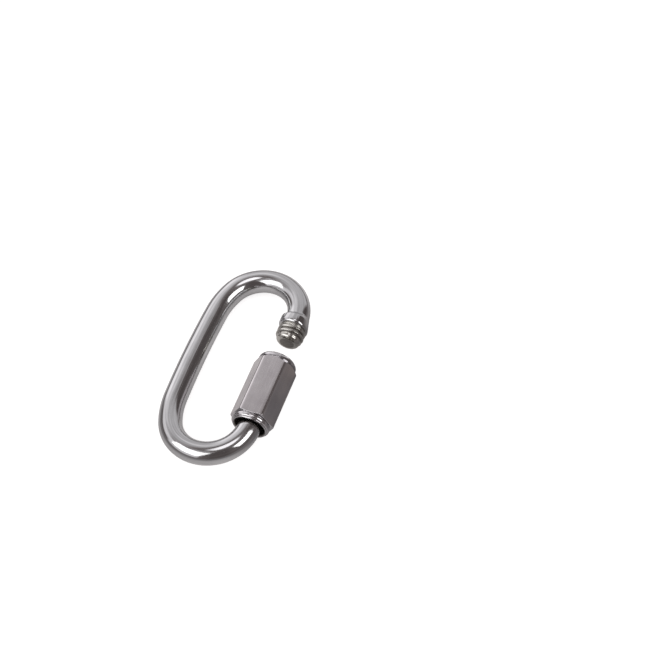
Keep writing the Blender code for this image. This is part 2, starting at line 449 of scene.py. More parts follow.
@dataclass(frozen=True)
class PolishedSteel:
    """Stainless steel with a polished or cut surface.

    Stainless steel is a neutral to slightly warm grey mirror. What tells one surface
    from another is how wide its reflections blur, which way its fine lines run, and
    how much darker its colour is in its recesses.
    """

    name: str
    bright: str
    dull: str
    painted_dark: str
    gloss: Pair
    lay: Lay
    line_width: float
    line_length: float
    line_depth: float
    line_tone: float
    wave_size: float
    wave_depth: float
    cloud_size: float

    def material(self) -> bpy.types.Material:
        """Build the node material.

        Returns:
            The finished material.
        """
        made = bpy.data.materials.new(self.name)
        made.use_nodes = True
        tree = made.node_tree
        shader = tree.nodes["Principled BSDF"]
        shader.inputs["Metallic"].default_value = 1.0
        skin = add_node(tree, "ShaderNodeUVMap", {"uv_map": "skin_mm"}).outputs["UV"]
        solid = add_node(tree, "ShaderNodeTexCoord").outputs["Object"]
        # Groove depth, and painted shade on the stud's end face.
        groove_and_end_shade = add_node(tree, "ShaderNodeAttribute", {"attribute_name": "groove_and_end_shade"}).outputs["Fac"]
        lines = self.lines(tree, skin)
        clouds = self.clouds(tree, solid)
        dressing = {
            "Base Color": self.colour(tree, clouds, lines, groove_and_end_shade),
            "Roughness": self.roughness(tree, clouds, lines, groove_and_end_shade),
            "Normal": self.relief(tree, solid, lines),
        }
        for name, source in dressing.items():
            tree.links.new(source, shader.inputs[name])
        return made

    def lines(self, tree: Tree, skin: Socket) -> Socket:
        """Fine polishing or tool lines, drawn out along their lay.

        Args:
            tree: The material's node tree.
            skin: Places on the skin, in millimetres.

        Returns:
            The lines' strength, from 0 to 1.
        """
        across, along = 1 / self.line_width, 1 / self.line_length
        stretch = (along, across, 1.0) if self.lay is Lay.ALONG else (across, along, 1.0)
        drawn = add_node(tree, "ShaderNodeMapping", {"Scale": stretch}, {"Vector": skin})
        noise = add_node(tree, "ShaderNodeTexNoise", {"Scale": 1.0, "Detail": 3.0, "Roughness": 0.6},
                         {"Vector": drawn.outputs["Vector"]})
        return noise.outputs["Fac"]

    def clouds(self, tree: Tree, solid: Socket) -> Socket:
        """Slow change of the polish over the piece.

        Args:
            tree: The material's node tree.
            solid: Places in the piece's own frame, in metres.

        Returns:
            The change, from 0 to 1.
        """
        noise = add_node(tree, "ShaderNodeTexNoise",
                         {"Scale": 1 / (self.cloud_size * MM), "Detail": 4.0, "Roughness": 0.55},
                         {"Vector": solid})
        ramp = add_node(tree, "ShaderNodeMapRange", {"From Min": 0.3, "From Max": 0.7},
                        {"Value": noise.outputs["Fac"]})
        return ramp.outputs["Result"]

    def colour(self, tree: Tree, clouds: Socket, lines: Socket, groove_and_end_shade: Socket) -> Socket:
        """Steel colour, duller in clouds, darker in thread roots, and darkened as painted shade on the
        stud's end face.

        Args:
            tree: The material's node tree.
            clouds: Slow change of the polish.
            lines: Fine lines.
            groove_and_end_shade: How deep the surface lies in a groove, and the painted shade on the
                stud's end face.

        Returns:
            The colour.
        """
        share = add_node(tree, "ShaderNodeMapRange",
                         {"From Min": 0.32, "From Max": 0.68, "To Max": self.line_tone},
                         {"Value": lines})
        spread = add_node(tree, "ShaderNodeMath", {"operation": "MULTIPLY_ADD", 1: 1 - self.line_tone},
                          {0: clouds, 2: share.outputs["Result"]})
        steel = add_node(tree, "ShaderNodeMix",
                         {"data_type": "RGBA", 6: linear(self.bright), 7: linear(self.dull)},
                         {0: spread.outputs["Value"]})
        # Darker in thread roots; on the stud's end face this darkening is painted shade.
        darkened = add_node(tree, "ShaderNodeMix", {"data_type": "RGBA", 7: linear(self.painted_dark)},
                          {0: groove_and_end_shade, 6: steel.outputs[2]})
        return darkened.outputs[2]

    def roughness(self, tree: Tree, clouds: Socket, lines: Socket, groove_and_end_shade: Socket) -> Socket:
        """Blur of the reflections, wider in clouds, lines and recesses.

        Args:
            tree: The material's node tree.
            clouds: Slow change of the polish.
            lines: Fine lines.
            groove_and_end_shade: How deep the surface lies in a groove, and the painted shade on the
                stud's end face.

        Returns:
            The roughness.
        """
        mean = add_node(tree, "ShaderNodeMath", {"operation": "ADD"}, {0: clouds, 1: lines})
        least, most = self.gloss
        spread = add_node(tree, "ShaderNodeMapRange",
                          {"From Min": 0.3, "From Max": 1.7, "To Min": least, "To Max": most},
                          {"Value": mean.outputs["Value"]})
        deep = add_node(tree, "ShaderNodeMath", {"operation": "MULTIPLY_ADD", 1: 0.2},
                        {0: groove_and_end_shade, 2: spread.outputs["Result"]})
        return deep.outputs["Value"]

    def relief(self, tree: Tree, solid: Socket, lines: Socket) -> Socket:
        """Slight waves that polishing leaves, under the fine lines.

        Args:
            tree: The material's node tree.
            solid: Places in the piece's own frame, in metres.
            lines: Fine lines.

        Returns:
            The surface normal.
        """
        waves = add_node(tree, "ShaderNodeTexNoise",
                         {"Scale": 1 / (self.wave_size * MM), "Detail": 1.0, "Roughness": 0.4},
                         {"Vector": solid})
        wavy = add_node(tree, "ShaderNodeBump", {"Strength": 1.0, "Distance": self.wave_depth * MM},
                        {"Height": waves.outputs["Fac"]})
        lined = add_node(tree, "ShaderNodeBump", {"Strength": 1.0, "Distance": self.line_depth * MM},
                         {"Height": lines, "Normal": wavy.outputs["Normal"]})
        return lined.outputs["Normal"]


# The lines of polishing belts and cutting tools are a few hundredths of a millimetre
# wide, too fine to show in the render, so each line_width is as coarse as it needs to
# show.

# Bent stainless wire, tumbled and polished bright: a soft mirror with long streaks.
POLISHED_WIRE = PolishedSteel(
    name="polished_stainless_wire", bright="#DADADB", dull="#B3B3B4", painted_dark="#6E6866",
    gloss=(0.08, 0.15), lay=Lay.ALONG, line_width=0.55, line_length=16.0, line_depth=0.008,
    line_tone=0.7, wave_size=5.0, wave_depth=0.014, cloud_size=6.0)

# Cut screw thread, polished with the rod: brighter crests and darker roots. Its dark tone is also the
# painted shade on the stud's end face.
CUT_THREAD = PolishedSteel(
    name="cut_stainless_thread", bright="#D6D4CF", dull="#C0BEB8", painted_dark="#77736F",
    gloss=(0.12, 0.22), lay=Lay.AROUND, line_width=0.15, line_length=4.0, line_depth=0.004,
    line_tone=0.4, wave_size=1.2, wave_depth=0.01, cloud_size=1.5)

# Cold-drawn hexagon bar, polished flat by flat: straight draw lines along the flats.
DRAWN_HEXAGON = PolishedSteel(
    name="drawn_stainless_hexagon", bright="#DAD6D7", dull="#C4BFC1", painted_dark="#6A6461",
    gloss=(0.12, 0.2), lay=Lay.ALONG, line_width=0.5, line_length=25.0, line_depth=0.003,
    line_tone=0.3, wave_size=6.0, wave_depth=0.02, cloud_size=5.0)

# Turned nut ends: rings left by the lathe tool, brighter than the flats.
TURNED_END = PolishedSteel(
    name="turned_stainless_end", bright="#D8D6D8", dull="#C6C4C6", painted_dark="#5A5450",
    gloss=(0.09, 0.16), lay=Lay.AROUND, line_width=0.12, line_length=8.0, line_depth=0.003,
    line_tone=0.4, wave_size=2.0, wave_depth=0.012, cloud_size=2.0)

# Bored and tapped inside of the nut, never polished: matt, darker than the outside and darkest in the
# thread roots.
TAPPED_BORE = PolishedSteel(
    name="tapped_stainless_bore", bright="#8F8A86", dull="#75706C", painted_dark="#2E2A28",
    gloss=(0.32, 0.48), lay=Lay.AROUND, line_width=0.15, line_length=5.0, line_depth=0.006,
    line_tone=0.4, wave_size=2.0, wave_depth=0.01, cloud_size=2.0)


# The bent rod


class RodFinish(IntEnum):
    """The rod's finishes, in the order of its materials."""

    POLISHED = 0
    CUT = 1


@dataclass
class BentRod:
    """The link's rod: stud with its collar, ring, and base thread."""

    # Ring: a bowed plain side, and at each end a wide and a tight bend. The bends' radii
    # are shares of the span.
    wire_radius: float = 3.0
    skin_inset: float = 0.02
    ring_width: float = 27.2
    straight_half: float = 16.7
    bow_radius: float = 270.0
    tight_bend_share: float = 0.472
    wide_bend_share: float = 0.99
    flattening_share: float = 0.03

    # Stud: rounded pilot, thread and relief. Painted shade, from 0 to 1, darkens
    # its end face.
    tip_x: float = -9.55
    tip_round: Pair = (0.9, 1.25)
    end_face_shade: float = 0.8
    pilot_length: float = 1.15
    pilot_radius: float = 3.08
    thread_radius: float = 3.6
    thread_fade: float = 0.25
    stud_length: float = 4.4
    relief_width: float = 0.5
    relief_radius: float = 3.2
    relief_round: float = 0.08
    relief_wall: float = 0.06
    relief_lead: float = 0.1

    # Collar, which runs out into the bend in a heel on the bend's outside.
    collar_foot: float = 0.02
    collar_radius: float = 4.0
    collar_length: float = 2.3
    collar_round: Pair = (0.85, 0.7)
    collar_blend: float = 1.4
    heel_radius: float = 3.8
    heel_length: float = 4.5
    heel_edge: float = 1.4

    # Base thread, inside the nut.
    base_end_x: float = -2.85
    base_thread_length: float = 7.4
    base_chamfer: float = 0.6
    base_runout: float = 0.8

    # Fineness of the mesh.
    fit_rounds: int = 40
    sides: int = 96
    round_steps: int = 12
    edge_steps: int = 5
    blend_steps: int = 16
    bend_step: float = math.radians(2.5)
    plain_step: float = 0.9
    least_step: float = 0.2
    crisp_degrees: float = 50.0
    thread: ScrewThread = field(default_factory=ScrewThread)

    def span(self) -> float:
        """Width between the axes of the two long sides."""
        return self.ring_width - 2 * self.wire_radius

    def skin_radius(self) -> float:
        """Radius of the polished rod, a hair inside the solid's."""
        return self.wire_radius - self.skin_inset

    def arcs(self) -> list[Pair]:
        """Stretches of the rod's axis, from the stud's tip to the base's end.

        The bowed plain side, a wide bend and a tight bend meet smoothly at each end.
        The turn of the bow and the angle at which the bends meet depend on each other,
        so they are worked out in rounds.

        Returns:
            (length, curvature) of each stretch.
        """
        tight = self.tight_bend_share * self.span()
        wide = self.wide_bend_share * self.span()
        bow_turn = meeting = 0.0
        for _ in range(self.fit_rounds):
            rise = self.bow_radius * (1 - math.cos(bow_turn))
            reach = self.span() - rise - wide * math.cos(bow_turn) - tight
            meeting = math.acos(reach / (tight - wide))
            ahead = wide * (math.sin(meeting) - math.sin(bow_turn))
            half_bow = self.straight_half - ahead + tight * math.sin(meeting)
            bow_turn = math.asin(half_bow / self.bow_radius)
        close = ((math.pi - meeting) * tight, 1 / tight)
        open_bend = ((meeting - bow_turn) * wide, 1 / wide)
        plain = (2 * bow_turn * self.bow_radius, 1 / self.bow_radius)
        stud = (self.tip_x + self.straight_half, 0.0)
        base = (self.straight_half - self.base_end_x, 0.0)
        return [stud, close, open_bend, plain, open_bend, close, base]

    def total(self) -> float:
        """Length of the rod's axis."""
        return sum(length for length, _ in self.arcs())

    def on_axis(self, distance: float) -> tuple[Vector, float]:
        """Place and heading on the rod's axis.

        Args:
            distance: Distance from the stud's tip.

        Returns:
            The place, and the heading in radians.
        """
        place, heading = Vector((self.tip_x, 0.0, 0.0)), math.pi
        for length, curvature in self.arcs():
            step = min(distance, length)
            if curvature == 0:
                place = place + step * Vector((math.cos(heading), math.sin(heading), 0.0))
            else:
                turned = heading + step * curvature
                ahead = Vector((math.sin(turned) - math.sin(heading),
                                math.cos(heading) - math.cos(turned), 0.0))
                place, heading = place + ahead / curvature, turned
            distance -= step
            if distance <= 0:
                break
        return place, heading

    def flattening(self, distance: float) -> float:
        """How flat a tight bend presses the rod.

        Args:
            distance: Distance from the stud's tip.

        Returns:
            The share by which the rod is flatter there.
        """
        start = 0.0
        tight = 1 / (self.tight_bend_share * self.span())
        for length, curvature in self.arcs():
            if curvature == tight and start < distance < start + length:
                return self.flattening_share * math.sin(math.pi * (distance - start) / length)
            start += length
        return 0.0

    def heel(self, distance: float, radius: float) -> float:
        """Radius on the outside of the bend, where the collar runs out into the rod.

        Args:
            distance: Distance from the stud's tip.
            radius: The turned radius there.

        Returns:
            The radius on that side.
        """
        if distance < self.stud_length:
            return radius
        fade = smooth_step(1 - (distance - self.stud_length) / self.heel_length)
        heel = self.skin_radius() + (self.heel_radius - self.skin_radius()) * fade
        return min(radius, heel) if distance < self.stud_length + self.collar_length else heel

    def ring(self, skin: Skin, distance: float, radius: float) -> list[int]:
        """One ring of points round the rod's axis.

        Args:
            skin: The rod's skin.
            distance: Distance from the stud's tip.
            radius: The rod's radius there.

        Returns:
            The ring's point numbers.
        """
        place, heading = self.on_axis(distance)
        outward = Vector((math.sin(heading), -math.cos(heading), 0.0))
        pressed = self.flattening(distance)
        over = radius * (1 + pressed / 2)
        heel = self.heel(distance, radius)
        # Painted shade: the stud's end face takes the dark tone by this share.
        painted_dark = self.end_face_shade if distance == 0 else 0.0
        numbers = []
        for angle in even_angles(self.sides):
            outer_side = smooth_step(math.cos(angle) * self.heel_edge)
            across = (radius + (heel - radius) * outer_side) * (1 - pressed)
            offset = across * math.cos(angle) * outward + Vector((0.0, 0.0, over * math.sin(angle)))
            numbers.append(skin.point(place + offset, painted_dark))
        return numbers

    def rounding(self, start: float, foot: float, size: Pair) -> list[Pair]:
        """A quarter of an oval that rounds off an end.

        Args:
            start: Distance at which it starts.
            foot: Radius from which it rises.
            size: Its length and its rise.

        Returns:
            (distance, radius) of each ring.
        """
        line = []
        for step in range(self.round_steps + 1):
            turn = math.pi / 2 * step / self.round_steps
            line.append((start + size[0] * (1 - math.cos(turn)), foot + size[1] * math.sin(turn)))
        return line

    def tip_line(self) -> list[Pair]:
        """The stud's rounded end and pilot.

        Returns:
            (distance, radius) of each ring.
        """
        flat_radius = self.pilot_radius - self.tip_round[1]
        line = [(0.0, 0.0), (0.0, flat_radius / 2)]
        line += self.rounding(0.0, flat_radius, self.tip_round)
        line.append((self.pilot_length, self.pilot_radius))
        return line

    def collar_line(self) -> list[Pair]:
        """The relief behind the thread, the collar and its blend into the rod.

        Returns:
            (distance, radius) of each ring.
        """
        relief = self.stud_length - self.relief_width
        line = eased_line([
            (relief - self.relief_lead, self.thread_radius, 0.0),
            (relief, self.thread_radius, self.relief_round),
            (relief + self.relief_wall, self.relief_radius, self.relief_round),
            (self.stud_length - self.collar_foot, self.relief_radius, 0.0)], self.edge_steps)
        foot = self.collar_radius - self.collar_round[1]
        line += self.rounding(self.stud_length, foot, self.collar_round)
        start = self.stud_length + self.collar_length
        line.append((start, self.collar_radius))
        for step in range(1, self.blend_steps + 1):
            share = step / self.blend_steps
            fall = (1 + math.cos(math.pi * share)) / 2
            radius = self.skin_radius() + (self.collar_radius - self.skin_radius()) * fall
            line.append((start + self.collar_blend * share, radius))
        return line

    def plain_line(self, start: float, end: float) -> list[Pair]:
        """The plain rod, with its rings close together in the bends.

        Args:
            start: Distance after which its rings start.
            end: Distance before which they end.

        Returns:
            (distance, radius) of each ring.
        """
        distances = []
        arc_start = 0.0
        for length, curvature in self.arcs():
            steps = max(math.ceil(length * curvature / self.bend_step),
                        math.ceil(length / self.plain_step))
            distances += [arc_start + length * step / steps for step in range(1, steps + 1)]
            arc_start += length
        return [(distance, self.skin_radius()) for distance in distances if start < distance < end]

    def stud_outline(self) -> list[Pair]:
        """Outside of the stud's thread, as (distance, radius)."""
        lead = self.thread_radius - self.pilot_radius
        return [(self.pilot_length, self.pilot_radius), (self.pilot_length + lead, self.thread_radius)]

    def base_outline(self) -> list[Pair]:
        """Outside of the base thread, from its run-out to its end chamfer.

        Returns:
            (distance, radius) of each corner.
        """
        end = self.total()
        start = end - self.base_thread_length
        return [(start, self.skin_radius()), (start + self.base_runout, self.thread_radius),
                (end - self.base_chamfer, self.thread_radius),
                (end, self.thread_radius - self.base_chamfer)]

    def thread_band(self, skin: Skin, start: float, end: float, outline: Sequence[Pair]) -> None:
        """Lay one threaded stretch.

        Args:
            skin: The rod's skin.
            start: Distance from the stud's tip at which it starts.
            end: Distance at which it ends.
            outline: Its outside, as (distance, radius).
        """
        zero = self.on_axis(start)[0].x + start

        def radius_at(x: float, angle: float) -> Pair:
            """Depth of the thread at one point.

            Args:
                x: Place on the axis.
                angle: Angle round the axis, in radians.

            Returns:
                The radius and the share sunk.
            """
            distance = zero - x
            fade = smooth_step(min(distance - start, end - distance) / self.thread_fade)
            cut = self.thread.groove(x, angle) * fade
            return min(between(distance, outline), self.thread_radius - self.thread.depth * cut), cut

        threaded_skin(skin, self.thread, (zero - end, zero - start), even_angles(self.sides),
                      radius_at, math.tau * self.thread_radius, RodFinish.CUT)

    def bands(self, skin: Skin, line: Sequence[Pair], finish: RodFinish) -> None:
        """Lay bands of skin along the rod's axis.

        Args:
            skin: The rod's skin.
            line: (distance, radius) of each ring.
            finish: Which finish the bands show.
        """
        rings = [self.ring(skin, *point) for point in line]
        along = line[0][0]
        girth = math.tau * self.wire_radius
        for index, ((d0, r0), (d1, r1)) in enumerate(zip(line, line[1:])):
            reach = along + math.hypot(d1 - d0, r1 - r0)
            skin.strip(rings[index], rings[index + 1], (along, reach), girth, finish)
            along = reach

    def build(self) -> bpy.types.Object:
        """Make the rod with its skin and finishes.

        Returns:
            The rod, in its own flat frame.
        """
        skin = Skin()
        total = self.total()
        self.bands(skin, self.tip_line(), RodFinish.CUT)
        thread_end = self.stud_length - self.relief_width - self.relief_lead
        self.thread_band(skin, self.pilot_length, thread_end, self.stud_outline())
        collar = self.collar_line()
        split = next(i for i, (distance, _) in enumerate(collar) if distance >= self.stud_length)
        self.bands(skin, collar[:split + 1], RodFinish.CUT)
        self.bands(skin, collar[split:], RodFinish.POLISHED)
        base_start = total - self.base_thread_length
        plain = [collar[-1]]
        plain += self.plain_line(collar[-1][0] + self.least_step, base_start - self.least_step)
        plain.append((base_start, self.skin_radius()))
        self.bands(skin, plain, RodFinish.POLISHED)
        self.thread_band(skin, base_start, total, self.base_outline())
        end_radius = self.thread_radius - self.base_chamfer
        self.bands(skin, [(total, end_radius), (total, 0.0)], RodFinish.CUT)
        finishes = [POLISHED_WIRE.material(), CUT_THREAD.material()]
        return skin.make("bent_rod", finishes, self.crisp_degrees)


# The sleeve nut


class NutFinish(IntEnum):
    """The nut's finishes, in the order of its materials."""

    DRAWN = 0
    TURNED = 1
    BORED = 2


@dataclass
class SleeveNut:
    """The hexagonal sleeve: drawn hexagon, turned ends, tapped bore and counterbore."""

    length: float = 20.0
    flat_radius: float = 5.0
    corner_round: float = 0.85

    # Turned ends: rim with a fine line round it, bead, groove, then the corner cut, which
    # is longer at the front than at the base.
    rim_radius: float = 4.45
    rim_rise: float = 0.08
    rim_ease: float = 0.1
    rim_width: float = 0.26
    rim_line: float = 0.1
    rim_line_depth: float = 0.07
    bead_radius: float = 4.93
    bead_round: float = 0.62
    bead_end: float = 1.2
    bead_fall: float = 0.06
    groove_radius: float = 4.68
    cut_start: float = 1.36
    corner_cuts: Pair = (math.radians(46.0), math.radians(68.0))
    cut_ease: float = 0.12
    cut_lead: float = 0.12
    cut_offsets: tuple[float, ...] = (0.0, 0.04, 0.09, 0.16)
    plain_start: float = 2.7

    # Inside: mouth, tapped bore and plain counterbore.
    mouth_radius: float = 4.15
    mouth_depth: float = 0.25
    mouth_taper: float = 0.05
    edge_round: float = 0.05
    counterbore_round: float = 0.08
    bore_radius: float = 3.9
    tapped_radius: float = 3.68
    tapped_depth: float = 0.4
    tapped_reach: Pair = (0.6, 15.5)
    tap_fade: float = 0.6
    tap_chamfer: float = 0.1

    # Fineness of the mesh.
    side_steps: int = 12
    corner_steps: int = 4
    end_steps: int = 34
    cut_steps: int = 4
    middle_steps: int = 12
    edge_steps: int = 3
    crisp_degrees: float = 40.0
    thread: ScrewThread = field(default_factory=ScrewThread)

    def hexagon(self) -> list[Pair]:
        """The hexagon's outline, its corners a little rounded.

        Returns:
            (angle, radius) of each point, in rising order of the angle.
        """
        points = []
        core = self.flat_radius - self.corner_round
        half = core * math.tan(math.pi / 6)
        for side in range(6):
            facing = math.pi / 6 + side * math.pi / 3
            for step in range(self.side_steps + 1):
                across = half * (2 * step / self.side_steps - 1)
                points.append((facing + math.atan2(across, self.flat_radius),
                               math.hypot(across, self.flat_radius)))
            middle = core / math.cos(math.pi / 6)
            corner = facing + math.pi / 6
            for step in range(1, self.corner_steps):
                turn = facing + math.pi / 3 * step / self.corner_steps
                y = middle * math.cos(corner) + self.corner_round * math.cos(turn)
                z = middle * math.sin(corner) + self.corner_round * math.sin(turn)
                points.append((math.atan2(z, y), math.hypot(y, z)))
        # A hair under 0 wraps to a whole turn, and the second wrap brings that back to 0.
        return sorted((angle % math.tau % math.tau, radius) for angle, radius in points)

    def turned_end(self, along: float, corner_cut: float) -> float:
        """Radius that the lathe leaves at a distance from a nut end.

        Args:
            along: Distance from the end.
            corner_cut: Angle of the corner cut to the axis, in radians.

        Returns:
            The radius of the rim, bead, groove or corner cut there.
        """
        if along > self.cut_start:
            return self.groove_radius + (along - self.cut_start) * math.tan(corner_cut)
        rim = self.rim_radius + self.rim_rise * smooth_step(along / self.rim_ease)
        off_line = abs(along - self.rim_width) / self.rim_line
        line = self.rim_line_depth * smooth_step(1 - off_line)
        shy = 1 - min(1.0, max(0.0, along - self.rim_width) / self.bead_round)
        rise = (self.bead_radius - rim) * math.sqrt(1 - shy * shy)
        past_bead = smooth_step((along - self.bead_end) / self.bead_fall)
        return rim - line + rise - (self.bead_radius - self.groove_radius) * past_bead

    def cut_place(self, radius: float, corner_cut: float) -> float:
        """Distance from the end at which the corner cut reaches a radius."""
        return self.cut_start + (radius - self.groove_radius) / math.tan(corner_cut)

    def column(self, hexagon_radius: float, corner_cut: float) -> list[tuple[float, float, int]]:
        """One end of the outside, at an angle where the hexagon has this radius.

        Args:
            hexagon_radius: The hexagon's radius at the column's angle.
            corner_cut: Angle of the corner cut to the axis, in radians.

        Returns:
            (distance from the end, radius, finish) of each point.
        """
        points = []
        cut = self.cut_place(hexagon_radius, corner_cut)
        lead = min(self.cut_lead, (cut - self.cut_start) / 2)
        turned = [self.cut_start * step / self.end_steps for step in range(self.end_steps + 1)]
        for step in range(1, self.cut_steps + 1):
            turned.append(self.cut_start + step / self.cut_steps * (cut - self.cut_start - lead))
        for along in turned:
            points.append((along, self.turned_end(along, corner_cut), NutFinish.TURNED))
        for offset in (-lead / 2, *self.cut_offsets):
            along = cut + offset
            radius = soft_least(hexagon_radius, self.turned_end(along, corner_cut), self.cut_ease)
            points.append((along, radius, NutFinish.DRAWN if offset > 0 else NutFinish.TURNED))
        points.append((self.plain_start, hexagon_radius, NutFinish.DRAWN))
        return points

    def outside(self, skin: Skin) -> None:
        """Lay the outside, from the front rim to the base rim.

        Args:
            skin: The nut's skin.
        """
        hexagon = self.hexagon()
        columns = []
        for _, radius in hexagon:
            near, base = (self.column(radius, corner_cut) for corner_cut in self.corner_cuts)
            plain = self.length - 2 * self.plain_start
            middle = [(self.plain_start + plain * step / self.middle_steps, radius, NutFinish.DRAWN)
                      for step in range(1, self.middle_steps)]
            far = [(self.length - along, r, finish) for along, r, finish in reversed(base)]
            columns.append(near + middle + far)
        numbers = [[skin.point((x, r * math.cos(angle), r * math.sin(angle))) for x, r, _ in column]
                   for (angle, _), column in zip(hexagon, columns)]
        for side, (angle, _) in enumerate(hexagon):
            turn = (side + 1) % len(hexagon)
            next_angle = hexagon[turn][0] + (0.0 if turn else math.tau)
            around = (self.flat_radius * angle, self.flat_radius * next_angle)
            here, there = columns[side], columns[turn]
            for index in range(len(here) - 1):
                quad = (numbers[side][index], numbers[turn][index],
                        numbers[turn][index + 1], numbers[side][index + 1])
                corners = ((here[index][0], around[0]), (there[index][0], around[1]),
                           (there[index + 1][0], around[1]), (here[index + 1][0], around[0]))
                skin.face(quad, corners, max(here[index][2], here[index + 1][2]))

    def inside(self, skin: Skin, front_x: float, phase: float) -> None:
        """Lay the mouths, the tapped bore and the counterbore.

        Args:
            skin: The nut's skin.
            front_x: Place of the nut's front end on the link's long axis.
            phase: Angle by which the rod's helix is turned in the nut's frame.
        """
        angles = [angle for angle, _ in self.hexagon()]
        start, end = self.tapped_reach
        front = eased_line([
            (0.0, self.rim_radius, 0.0), (0.0, self.mouth_radius, self.edge_round),
            (self.mouth_depth, self.bore_radius - self.mouth_taper, self.edge_round),
            (start, self.tapped_radius, 0.0)], self.edge_steps)
        back = eased_line([
            (end, self.tapped_radius, 0.0),
            (end + self.tap_chamfer, self.bore_radius, self.edge_round),
            (self.length - self.mouth_depth, self.bore_radius, self.counterbore_round),
            (self.length, self.mouth_radius, self.edge_round),
            (self.length, self.rim_radius, 0.0)], self.edge_steps)
        girth = math.tau * self.bore_radius
        # The turned finish ends inside the mouth's rounded edge.
        turned = self.edge_steps
        turned_skin(skin, front[:turned], angles, girth, NutFinish.TURNED)
        turned_skin(skin, front[turned - 1:], angles, girth, NutFinish.BORED)
        turned_skin(skin, back[:-turned], angles, girth, NutFinish.BORED)
        turned_skin(skin, back[-turned - 1:], angles, girth, NutFinish.TURNED)

        def radius_at(x: float, angle: float) -> Pair:
            """Height of the thread at one point of the bore.

            Args:
                x: Distance from the nut's front end.
                angle: Angle round the axis, in radians.

            Returns:
                The radius and the share sunk.
            """
            fade = smooth_step(min(x - start, end - x) / self.tap_fade)
            ridge = self.thread.groove(x + front_x, angle - phase) * fade
            return self.tapped_radius - self.tapped_depth * ridge, 1 - ridge

        threaded_skin(skin, self.thread, (start, end), angles, radius_at, girth, NutFinish.BORED)

    def build(self, front_x: float, phase: float) -> bpy.types.Object:
        """Make the nut with its skin and finishes.

        Args:
            front_x: Place of the nut's front end on the link's long axis.
            phase: Angle by which the rod's helix is turned in the nut's frame.

        Returns:
            The nut, in its own frame.
        """
        skin = Skin()
        self.outside(skin)
        self.inside(skin, front_x, phase)
        finishes = [DRAWN_HEXAGON.material(), TURNED_END.material(), TAPPED_BORE.material()]
        return skin.make("hexagon_sleeve_nut", finishes, self.crisp_degrees)


# The whole link


@dataclass
class QuickLink:
    """The whole link, lying on one nut flat and its plain side."""

    rod: BentRod = field(default_factory=BentRod)
    nut: SleeveNut = field(default_factory=SleeveNut)
    nut_front_x: float = -3.65

    def tilt(self) -> float:
        """Angle of the ring over the ground, in radians."""
        return math.asin((self.nut.flat_radius - self.rod.wire_radius) / self.rod.span())

    def axis_place(self) -> Vector:
        """Place of the nut's axis above the ground, in metres."""
        low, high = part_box("sleeve_nut")
        return Vector((0.0, (low[1] + high[1]) / 2, (low[2] + high[2]) / 2))

    def place(self) -> list[bpy.types.Object]:
        """Build both pieces and put them where the CAD nodes lie.

        Returns:
            The placed pieces.
        """
        axis = self.axis_place()
        rod = self.rod.build()
        rod.data.transform(Matrix.Translation(axis) @ Matrix.Rotation(self.tilt(), 4, "X"))
        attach(rod, "link")
        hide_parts("link_body")
        nut = self.nut.build(self.nut_front_x, self.tilt())
        nut.data.transform(Matrix.Translation(axis + Vector((self.nut_front_x * MM, 0.0, 0.0))))
        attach(nut, "nut")
        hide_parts("sleeve_nut")
        return [rod, nut]


# Finishes of the studio


